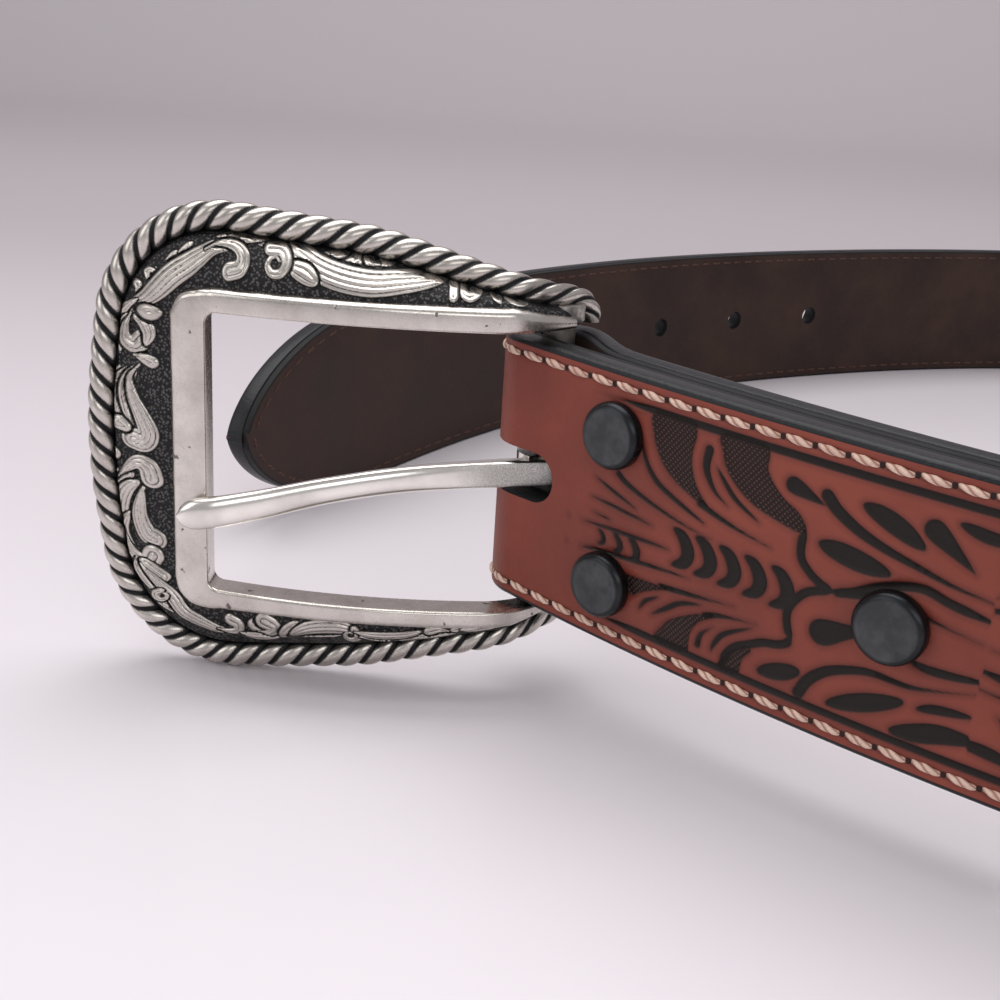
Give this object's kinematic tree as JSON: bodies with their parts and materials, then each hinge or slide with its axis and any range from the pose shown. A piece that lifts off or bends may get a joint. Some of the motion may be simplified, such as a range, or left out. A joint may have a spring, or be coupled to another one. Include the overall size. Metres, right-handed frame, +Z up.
{
  "type": "western tooled belt",
  "caption": "Leather belt with tooled face, dark lining, pointed tip and size holes; cast scroll buckle with rope edge and prong on a heel bar, held by black snaps. Unfastened, on its edge.",
  "frame": {"origin": "middle of the belt's box in plan, on the surface that it stands on", "axes": "+Z up; +X along the buckle towards the strap, to the picture's right; +Y away from the picture's camera"},
  "size_m": [0.441, 0.3522, 0.0688],
  "materials": {
    "face_leather": "satin",
    "lining_leather": "matte",
    "antiqued_silver": "antiqued",
    "polished_silver": "polished",
    "black_snap": "satin"
  },
  "bodies": {
    "strap": {"strap_face": "face_leather", "strap_lining": "lining_leather", "snap_upper_cap": "black_snap", "snap_upper_stud": "black_snap", "snap_lower_cap": "black_snap", "snap_lower_stud": "black_snap", "snap_third_cap": "black_snap", "snap_third_stud": "black_snap"},
    "buckle": {"buckle_frame": "antiqued_silver"},
    "prong": {"prong": "polished_silver"}
  },
  "joints": [
    {"name": "buckle_pivot", "type": "hinge", "parent": "strap", "child": "buckle", "pos_m": [-0.15689, -0.08007, 0.0344], "axis": [0, 0, 1], "range_deg": [-80, 10]},
    {"name": "prong_pivot", "type": "hinge", "parent": "buckle", "child": "prong", "pos_m": [-0.15689, -0.08007, 0.0344], "axis": [0, 0, 1], "range_deg": [0, 45]}
  ]
}
